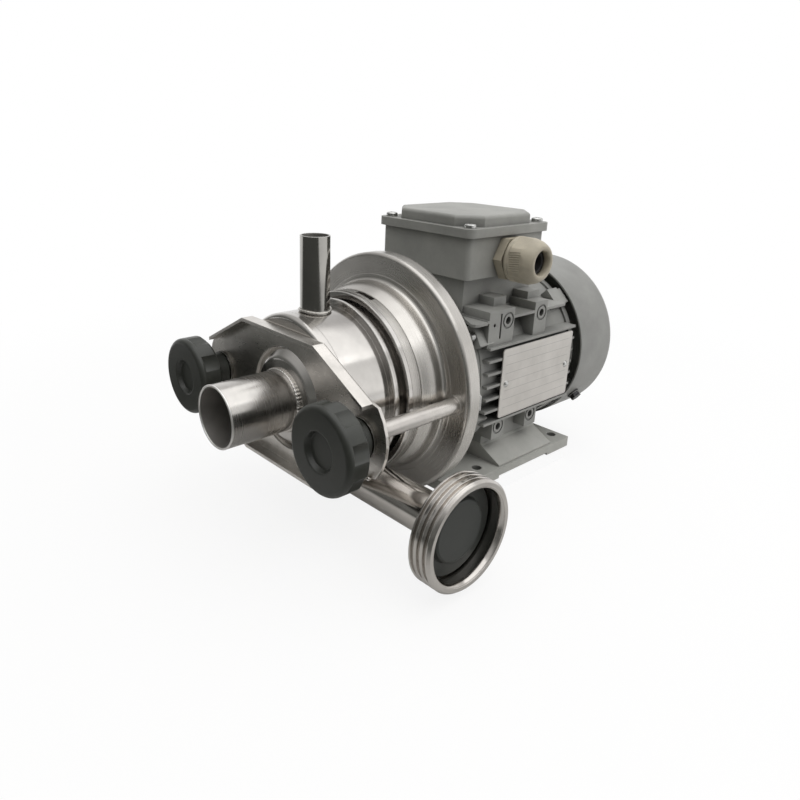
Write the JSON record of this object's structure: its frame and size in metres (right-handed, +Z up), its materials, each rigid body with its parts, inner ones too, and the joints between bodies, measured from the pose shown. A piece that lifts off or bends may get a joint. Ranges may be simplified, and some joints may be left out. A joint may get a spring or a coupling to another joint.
{
  "type": "milk pump",
  "caption": "Centrifugal milk pump with a polished steel head, clamp bridge and two knobs, flange-mounted on a finned foot-mounted electric motor with terminal box.",
  "frame": {"origin": "middle of the four foot holes, on the underside of the motor feet; the pump head overhangs below this plane", "axes": "+X to the discharge union and cable gland side, +Y back along the shaft to the fan, +Z up; the shaft axis is at z 71 mm"},
  "size_m": [0.2255, 0.3207, 0.1878],
  "materials": {
    "steel_polished": "polished stainless steel",
    "steel_fastener": "zinc-plated or bright steel fasteners",
    "steel_shaft": "ground steel",
    "steel_black": "black oxide screws",
    "paint_grey": "grey painted aluminium casting",
    "paint_foot": "grey painted aluminium casting",
    "paint_cover": "grey painted sheet steel",
    "bakelite_black": "satin black moulded plastic",
    "nylon_beige": "beige nylon",
    "plastic_black": "black nylon",
    "board_brown": "brown moulded board",
    "rubber_black": "black rubber",
    "brass": "machined brass",
    "copper": "varnished copper wire, brass density stands in for copper",
    "core_steel": "laminated steel core",
    "plate_foil": "bare aluminium plate",
    "carbon": "seal face, cast iron stands in for carbon and ceramic"
  },
  "bodies": {
    "motor_and_casing": {"adaptor_lantern": "steel_polished", "adaptor_screws": "steel_fastener", "back_plate": "steel_polished", "box_gasket": "rubber_black", "box_lid": "paint_grey", "box_screws": "steel_fastener", "casing_drum": "steel_polished", "casing_ring": "rubber_black", "clamp_bridge": "steel_polished", "cover_ring": "rubber_black", "discharge_pipe": "steel_polished", "discharge_union": "steel_polished", "fan_cover": "paint_cover", "fan_cover_screws": "steel_black", "foot_left": "paint_foot", "foot_right": "paint_foot", "foot_screws": "steel_fastener", "front_bearing": "steel_shaft", "front_cover": "steel_polished", "front_shield": "paint_grey", "front_shield_screws": "steel_black", "gland_body": "nylon_beige", "gland_nut": "nylon_beige", "gland_seal": "rubber_black", "lid_screws": "steel_fastener", "nameplate": "plate_foil", "nameplate_rivets": "steel_fastener", "rear_bearing": "steel_shaft", "rear_shield": "paint_grey", "rear_shield_screws": "steel_black", "seal_seat": "carbon", "stator_core": "core_steel", "stator_housing": "paint_grey", "stud_left": "steel_fastener", "stud_nuts": "steel_fastener", "stud_right": "steel_fastener", "suction_pipe": "steel_polished", "terminal_board": "board_brown", "terminal_box": "paint_grey", "terminal_studs": "brass", "valve_guide": "steel_polished", "vent_pipe": "steel_polished", "windings": "copper"},
    "rotor": {"motor_shaft": "steel_shaft", "pump_shaft": "steel_polished", "set_screws": "steel_black", "impeller": "steel_polished", "impeller_nut": "steel_polished", "seal_head": "carbon", "seal_spring": "steel_shaft", "rotor_core": "core_steel", "cooling_fan": "plastic_black", "fan_clip": "steel_black"},
    "washer_right_body": {"knob_washer_right": "steel_fastener"},
    "knob_right_body": {"knob_right": "bakelite_black", "knob_insert_right": "brass"},
    "washer_left_body": {"knob_washer_left": "steel_fastener"},
    "knob_left_body": {"knob_left": "bakelite_black", "knob_insert_left": "brass"},
    "valve": {"valve_disc": "rubber_black"}
  },
  "joints": [
    {"name": "rotor_spin", "type": "hinge", "parent": "motor_and_casing", "child": "rotor", "pos_m": [0, 0, 0.071], "axis": [0, 1, 0], "continuous": true},
    {"name": "knob_right_travel", "type": "slide", "parent": "motor_and_casing", "child": "washer_right_body", "axis": [0, -1, 0], "range_m": [0, 0.012]},
    {"name": "knob_right_turn", "type": "hinge", "parent": "washer_right_body", "child": "knob_right_body", "pos_m": [0.071, -0.168, 0.071], "axis": [0, -1, 0], "range_deg": [0, 2890]},
    {"name": "knob_left_travel", "type": "slide", "parent": "motor_and_casing", "child": "washer_left_body", "axis": [0, -1, 0], "range_m": [0, 0.012]},
    {"name": "knob_left_turn", "type": "hinge", "parent": "washer_left_body", "child": "knob_left_body", "pos_m": [-0.071, -0.168, 0.071], "axis": [0, -1, 0], "range_deg": [0, 2890]},
    {"name": "valve_lift", "type": "slide", "parent": "motor_and_casing", "child": "valve", "axis": [1, 0, 0], "range_m": [0, 0.005]}
  ],
  "couplings": [
    {"joint": "knob_right_turn", "follows": "knob_right_travel", "rad_per_m": 4188.8},
    {"joint": "knob_left_turn", "follows": "knob_left_travel", "rad_per_m": 4188.8}
  ]
}
